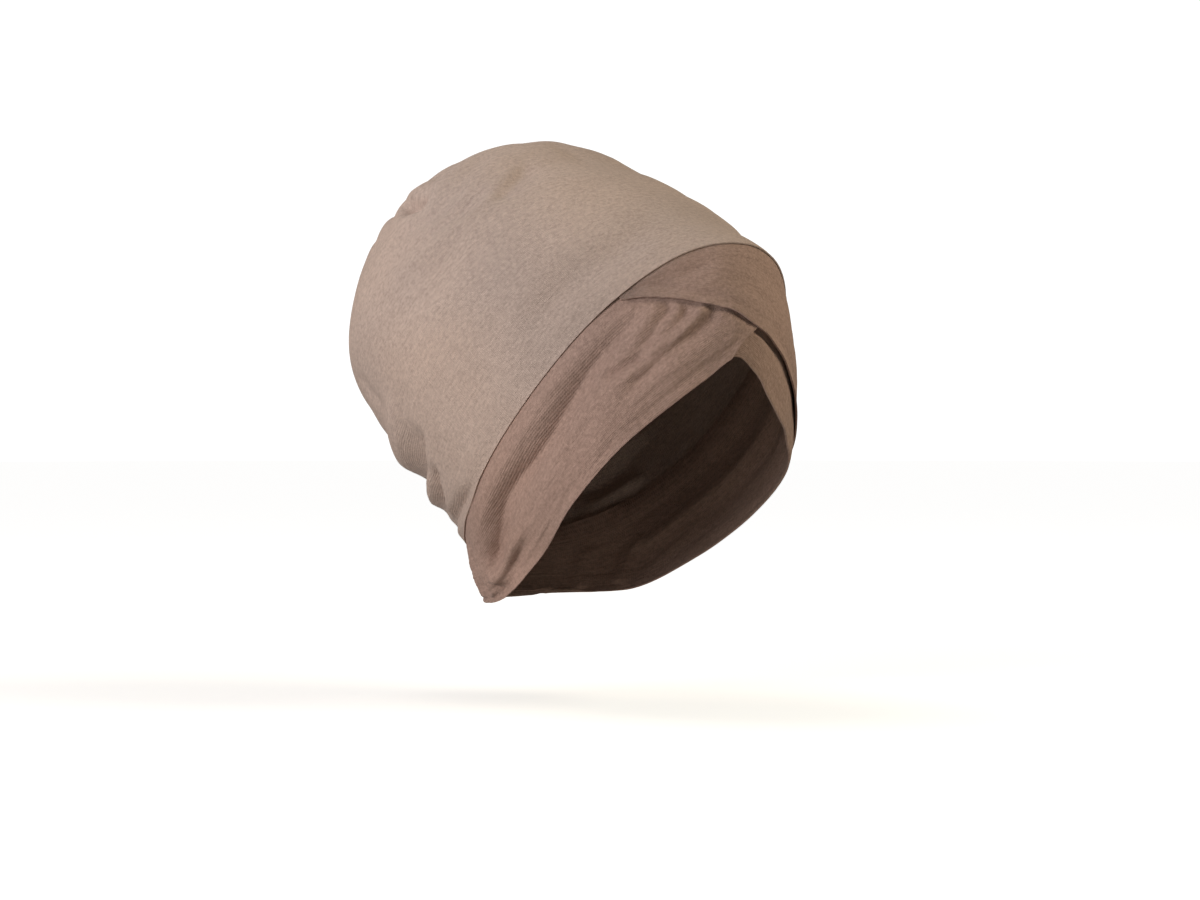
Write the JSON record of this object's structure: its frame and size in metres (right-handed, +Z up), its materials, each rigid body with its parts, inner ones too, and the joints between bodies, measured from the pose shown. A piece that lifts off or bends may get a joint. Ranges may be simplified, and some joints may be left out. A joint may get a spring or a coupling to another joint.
{
  "type": "hijab underscarf cap",
  "caption": "Slouchy jersey underscarf cap in its worn form: a roomy gathered crown over two front bands that cross on the forehead and a plain inner band.",
  "frame": {"origin": "the middle of the wearer's head at brow height, where the cap sits", "axes": "+X to the wearer's left, +Y to the back of the head, +Z up"},
  "size_m": [0.2092, 0.2711, 0.2606],
  "materials": {
    "crown_jersey": "soft matte knitted jersey, taupe",
    "band_jersey": "soft matte knitted jersey, deeper taupe in the bands' shade",
    "inner_jersey": "soft matte knitted jersey, taupe"
  },
  "bodies": {
    "root": {"crown": "crown_jersey", "over_band": "band_jersey", "under_band": "band_jersey", "inner_band": "inner_jersey"}
  },
  "joints": []
}
